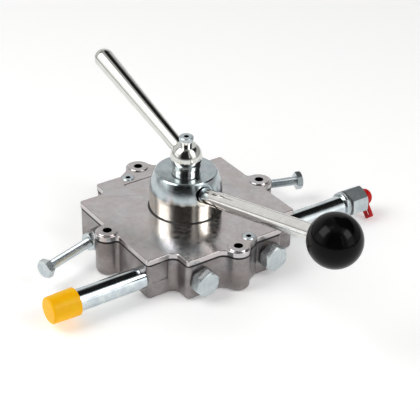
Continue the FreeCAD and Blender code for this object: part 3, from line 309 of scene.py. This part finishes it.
FINISHES = {
    "cover": machined_cover("machined_aluminium"),
    "casting": rough_casting("cast_aluminium"),
    "zinc_steel": zinc("zinc_steel"),
    "zinc_nut": zinc("zinc_nut", roughness=0.42),
    # Painted shade in the hexagon sockets: on the cover screws everything under the socket's depth is
    # near black, on the cap screw only within the socket.
    "zinc_screw": zinc("zinc_screw", tone=1.1, socket=(None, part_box("cover_screws")[1][2] - 0.65 * MM)),
    "zinc_cap": zinc("zinc_cap", socket=(2.92 * MM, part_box("spindle_cap_screw")[1][2] - 0.2 * MM)),
    "zinc_tube": zinc("zinc_tube", ALONG, 0.09, 1.15),
    "satin_steel": polished("satin_steel", (0.68, 0.69, 0.66), 0.13),
    "polished_steel": polished("polished_steel"),
    "hub_steel": turned_steel("hub_steel", 67.5 * MM),
    "dark_steel": dark_metal("dark_steel", (0.16, 0.155, 0.15)),
    "spring_steel": dark_metal("spring_steel", (0.30, 0.30, 0.31), 0.3),
    "bronze": dark_metal("bronze", (0.55, 0.34, 0.15), 0.35),
    "black_rubber": plastic("black_rubber", (0.012, 0.012, 0.013), (0.02, 0.02, 0.02), 0.45),
    "gasket_fibre": plastic("gasket_fibre", (0.03, 0.028, 0.025), (0.05, 0.045, 0.04), 0.7),
    "black_knob": plastic(
        "black_knob", (0.002, 0.0018, 0.002), (0.003, 0.0025, 0.0025), 0.1, Specular_IOR_Level=0.1),
    "yellow_plastic": plastic(
        "yellow_plastic", (1.0, 0.55, 0.0), (1.0, 0.47, 0.0), 0.35, Specular_IOR_Level=0.2),
    "red_plastic": plastic(
        "red_plastic", (0.62, 0.012, 0.008), (0.48, 0.006, 0.005), 0.3, Specular_IOR_Level=0.2),
}

NODE_FINISHES = {
    "cover": ("top_cover",),
    "casting": ("lower_housing",),
    "zinc_steel": (
        "tube_collar", "guide_plugs", "stop_lock_nuts", "clamp_spindle"),
    "zinc_nut": ("union_nut", ),
    "zinc_screw": ("cover_screws", ),
    "zinc_cap": ("spindle_cap_screw", ),
    "zinc_tube": ("left_rack_tube", "right_rack_tube"),
    "polished_steel": (
        "control_lever", "thrust_washer", "disc_spring", "spindle_spacer"),
    "satin_steel": ("clamp_lever", ),
    "hub_steel": ("hub", ),
    "dark_steel": (
        "plug_washers", "pinion_segment", "rack_bar", "shaft_key", "dowel_pins", "friction_disc",
        "tube_lock_washer"),
    "spring_steel": ("guide_springs", ),
    "bronze": ("upper_bush", "lower_bush", "rack_bushes", "guide_yokes"),
    "black_rubber": ("hub_seal_ring", ),
    "gasket_fibre": ("cover_gasket", ),
    "black_knob": ("ball_knob", ),
    "yellow_plastic": ("protective_cap", ),
    "red_plastic": ("red_plug", ),
}


def dress(obj, finish):
    obj.data.materials.clear()
    obj.data.materials.append(FINISHES[finish].material)


for finish_name, members in NODE_FINISHES.items():
    for member in members:
        dress(NODES[member], finish_name)


# ---------------------------------------------------------------- stop screws with real threads

SCREW_LEAN = math.radians(17.5)
# Lengths in mm: the axes' height and their distance from Z, the screws' shank, thread and hexagon head.
SCREW_LEVEL, SCREW_FOOT, SCREW_LENGTH = 24.8, 50.0, 120.0
THREAD_MAJOR, THREAD_MINOR, THREAD_PITCH, THREAD_RUN = 4.98, 4.15, 1.5, 62.0
THREAD_FADE, THREAD_STEP = 2.0, 0.25
SCREW_TIP = ((0, 3.0), (0.6, 4.2), (2.4, THREAD_MAJOR))  # distance from the tip, radius
HEAD_FLATS, HEAD_HEIGHT, HEAD_CROWN, HEAD_ROLL = 17.0, 6.4, 8.075, math.radians(20)
HEAD_CHAMFER = math.radians(60)
AROUND = 48  # a multiple of 6, so that the head's corners fall on vertices


def skin_rings(mesh, rings):
    """Joins rings of equal length into a closed tube with flat ends."""
    loops = [[mesh.verts.new(point) for point in ring] for ring in rings]
    for first, second in zip(loops, loops[1:]):
        for i in range(len(first)):
            j = (i + 1) % len(first)
            mesh.faces.new((first[i], first[j], second[j], second[i]))
    mesh.faces.new(reversed(loops[0]))
    mesh.faces.new(loops[-1])


def stop_screw(name, side, tip):
    """A hex screw along the rack's stop axis; side is -1 or 1, tip its inner end's distance in mm."""
    outward = (ALONG * side * math.cos(SCREW_LEAN) - ACROSS * math.sin(SCREW_LEAN)).normalized()
    level = outward.cross(UP).normalized()
    foot = place(side * SCREW_FOOT * math.sin(SCREW_LEAN), SCREW_FOOT * math.cos(SCREW_LEAN), SCREW_LEVEL)
    bend = UP * math.cos(HEAD_ROLL) - level * math.sin(HEAD_ROLL)
    wide = outward.cross(bend)
    angles = [2 * math.pi * i / AROUND for i in range(AROUND)]

    def ring(distance, radius):
        """Points round the axis; distance and radius both follow from the angle."""
        return [
            foot + (outward * distance(a) + (bend * math.cos(a) + wide * math.sin(a)) * radius(a)) * MM
            for a in angles]

    def thread(distance, angle):
        depth = min(1.0, (distance - run_start) / THREAD_FADE) * (THREAD_MAJOR - THREAD_MINOR)
        share = (distance / THREAD_PITCH - angle / (2 * math.pi)) % 1.0
        return THREAD_MAJOR - depth * abs(2 * share - 1)

    base = tip + SCREW_LENGTH
    top = base + HEAD_HEIGHT
    run_start = base - THREAD_RUN
    rings = [ring(lambda a, s=tip + offset: s, lambda a, r=radius: r) for offset, radius in SCREW_TIP]
    steps = int(THREAD_RUN / THREAD_STEP)
    for i in range(steps + 3):
        distance = run_start + THREAD_RUN * i / steps
        rings.append(ring(lambda a, s=distance: s, lambda a, s=distance: thread(s, a)))

    def flats(angle):
        return HEAD_FLATS / 2 / math.cos((angle + 1e-9) % (math.pi / 3) - math.pi / 6)

    def chamfer(angle):
        return top - (flats(angle) - HEAD_CROWN) / math.tan(HEAD_CHAMFER)

    mesh = bmesh.new()
    skin_rings(mesh, rings)
    skin_rings(mesh, [
        ring(lambda a: base, flats), ring(chamfer, flats), ring(lambda a: top, lambda a: HEAD_CROWN)])
    bmesh.ops.recalc_face_normals(mesh, faces=mesh.faces)
    data = bpy.data.meshes.new(name)
    mesh.to_mesh(data)
    mesh.free()
    obj = bpy.data.objects.new(name, data)
    bpy.context.scene.collection.objects.link(obj)
    dress(obj, "zinc_steel")
    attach(obj, "housing")
    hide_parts("stop_screws")


stop_screw("left_stop_screw", -1, 28.0)
stop_screw("right_stop_screw", 1, 17.5)


# ---------------------------------------------------------------- studio

def camera():
    """Looks down at the hub from the front, with a long lens."""
    data = bpy.data.cameras.new("camera")
    data.lens = 108.87
    data.sensor_width = 36.0
    obj = bpy.data.objects.new("camera", data)
    bpy.context.scene.collection.objects.link(obj)
    heading, drop, roll = CAMERA_HEADING, math.radians(31.28), math.radians(1.222)
    level = Vector((-math.sin(heading), math.cos(heading), 0))
    forward = level * math.cos(drop) - UP * math.sin(drop)
    right = Vector((math.cos(heading), math.sin(heading), 0))
    above = right.cross(forward)
    tilted = right * math.cos(roll) + above * math.sin(roll)
    axes = Matrix((tilted, tilted.cross(forward), -forward)).transposed()
    obj.matrix_world = Matrix.Translation((0.2150, -1.0779, 0.7134)) @ axes.to_4x4()
    bpy.context.scene.camera = obj


def floor():
    """A pale floor that glows a little, so that it stays white round the object."""
    half = 1.6
    mesh = bpy.data.meshes.new("floor")
    mesh.from_pydata(
        [(-half, -half, 0), (half, -half, 0), (half, half, 0), (-half, half, 0)], [], [(0, 1, 2, 3)])
    obj = bpy.data.objects.new("floor", mesh)
    bpy.context.scene.collection.objects.link(obj)
    finish = Finish("studio_floor", (0.94, 0.94, 0.94), 0.8, Emission_Strength=0.25)
    finish.colour(finish.blend(finish.noise(0.3, 2), (0.94, 0.94, 0.94), (0.95, 0.95, 0.945)))
    mesh.materials.append(finish.material)


def softbox(name, position, size, power, target=(0, 0, 0.04)):
    """An area light; size in metres, power in watts."""
    data = bpy.data.lights.new(name, "AREA")
    data.shape = "RECTANGLE"
    data.size, data.size_y = size
    data.energy = power
    obj = bpy.data.objects.new(name, data)
    bpy.context.scene.collection.objects.link(obj)
    obj.location = position
    obj.rotation_euler = (Vector(target) - Vector(position)).to_track_quat("-Z", "Y").to_euler()


BASE_LEVEL = 0.5
PANELS = (
    # level, first and last azimuth, lowest and highest elevation, softness in azimuth and elevation
    (0.02, -44, 30, -1, 66, 10, 8),
    (0.34, -160, -100, 24, 70, 8, 8),
    (1.35, -98, -60, 4, 86, 7, 5),
    (1.45, 46, 76, 1, 64, 5, 4),
    (1.25, 70, 116, 52, 66, 6, 6),
    (0.01, 84, 184, 24, 80, 5, 3),
    (0.80, 156, 250, 1, 40, 6, 4),
    (1.2, 24, 28, 10, 50, 2, 8),
    (0.05, -180, 180, -4.5, -1.0, 1, 0.8),
)


class Sky:
    """World nodes that paint soft panels by azimuth and elevation, both in degrees.

    Azimuth 0 is the side that the camera stands on, and it grows to the camera's right.
    """

    def __init__(self, front, right):
        world = bpy.data.worlds.new("studio")
        bpy.context.scene.world = world
        world.use_nodes = True
        self.nodes, self.links = world.node_tree.nodes, world.node_tree.links
        where = self.nodes.new("ShaderNodeTexCoord").outputs["Generated"]
        ahead = self.dot(where, front)
        aside = self.dot(where, right)
        height = self.dot(where, (0, 0, 1))
        self.azimuth = self.degrees(self.math("ARCTAN2", aside, ahead))
        self.elevation = self.degrees(self.math("ARCSINE", height))
        self.full_circle = self.math("FLOORED_MODULO", self.azimuth, 360.0)

    def put(self, node, sockets):
        for index, value in enumerate(sockets):
            if isinstance(value, bpy.types.NodeSocket):
                self.links.new(value, node.inputs[index])
            else:
                node.inputs[index].default_value = value
        return node

    def math(self, operation, *sockets):
        node = self.nodes.new("ShaderNodeMath")
        node.operation = operation
        return self.put(node, sockets).outputs[0]

    def dot(self, vector, direction):
        node = self.nodes.new("ShaderNodeVectorMath")
        node.operation = "DOT_PRODUCT"
        return self.put(node, (vector, direction)).outputs["Value"]

    def degrees(self, value):
        return self.math("MULTIPLY", value, 180 / math.pi)

    def step(self, value, start, end):
        """Rises smoothly from 0 at start to 1 at end."""
        node = self.nodes.new("ShaderNodeMapRange")
        node.interpolation_type = "SMOOTHSTEP"
        return self.put(node, (value, start, end, 0.0, 1.0)).outputs[0]

    def window(self, value, low, high, soft):
        rise = self.step(value, low - soft, low + soft)
        fall = self.step(value, high - soft, high + soft)
        return self.math("SUBTRACT", rise, fall)

    def panel(self, level, brightness, first, last, lowest, highest, soft_aside, soft_up):
        around = self.full_circle if last > 180 else self.azimuth
        up = self.window(self.elevation, lowest, highest, soft_up)
        aside = 1.0 if last - first >= 360 else self.window(around, first, last, soft_aside)
        cover = self.math("MULTIPLY", up, aside)
        gain = self.math("MULTIPLY", cover, self.math("SUBTRACT", brightness, level))
        return self.math("ADD", level, gain)


def surroundings():
    """A studio with white panels left and right and dark gaps; the camera itself sees plain white."""
    aside, ahead = math.cos(CAMERA_HEADING), math.sin(CAMERA_HEADING)
    sky = Sky((ahead, -aside, 0), (aside, ahead, 0))
    level = BASE_LEVEL
    for panel in PANELS:
        level = sky.panel(level, *panel)
    tint = sky.nodes.new("ShaderNodeCombineColor")
    sky.put(tint, (level, level, sky.math("MULTIPLY", level, 0.985)))
    tent = sky.nodes["Background"]
    sky.links.new(tint.outputs[0], tent.inputs["Color"])
    plain = sky.nodes.new("ShaderNodeBackground")
    plain.inputs["Color"].default_value = (1, 1, 1, 1)
    mix = sky.nodes.new("ShaderNodeMixShader")
    sky.links.new(sky.nodes.new("ShaderNodeLightPath").outputs["Is Camera Ray"], mix.inputs[0])
    sky.links.new(tent.outputs[0], mix.inputs[1])
    sky.links.new(plain.outputs[0], mix.inputs[2])
    sky.links.new(mix.outputs[0], sky.nodes["World Output"].inputs[0])


camera()
floor()
surroundings()
softbox("key", (-0.9, -0.5, 1.2), (0.9, 0.9), 9.0)
softbox("fill", (1.1, -0.4, 1.0), (0.6, 0.6), 4.0)
bpy.context.scene.view_settings.view_transform = "Standard"
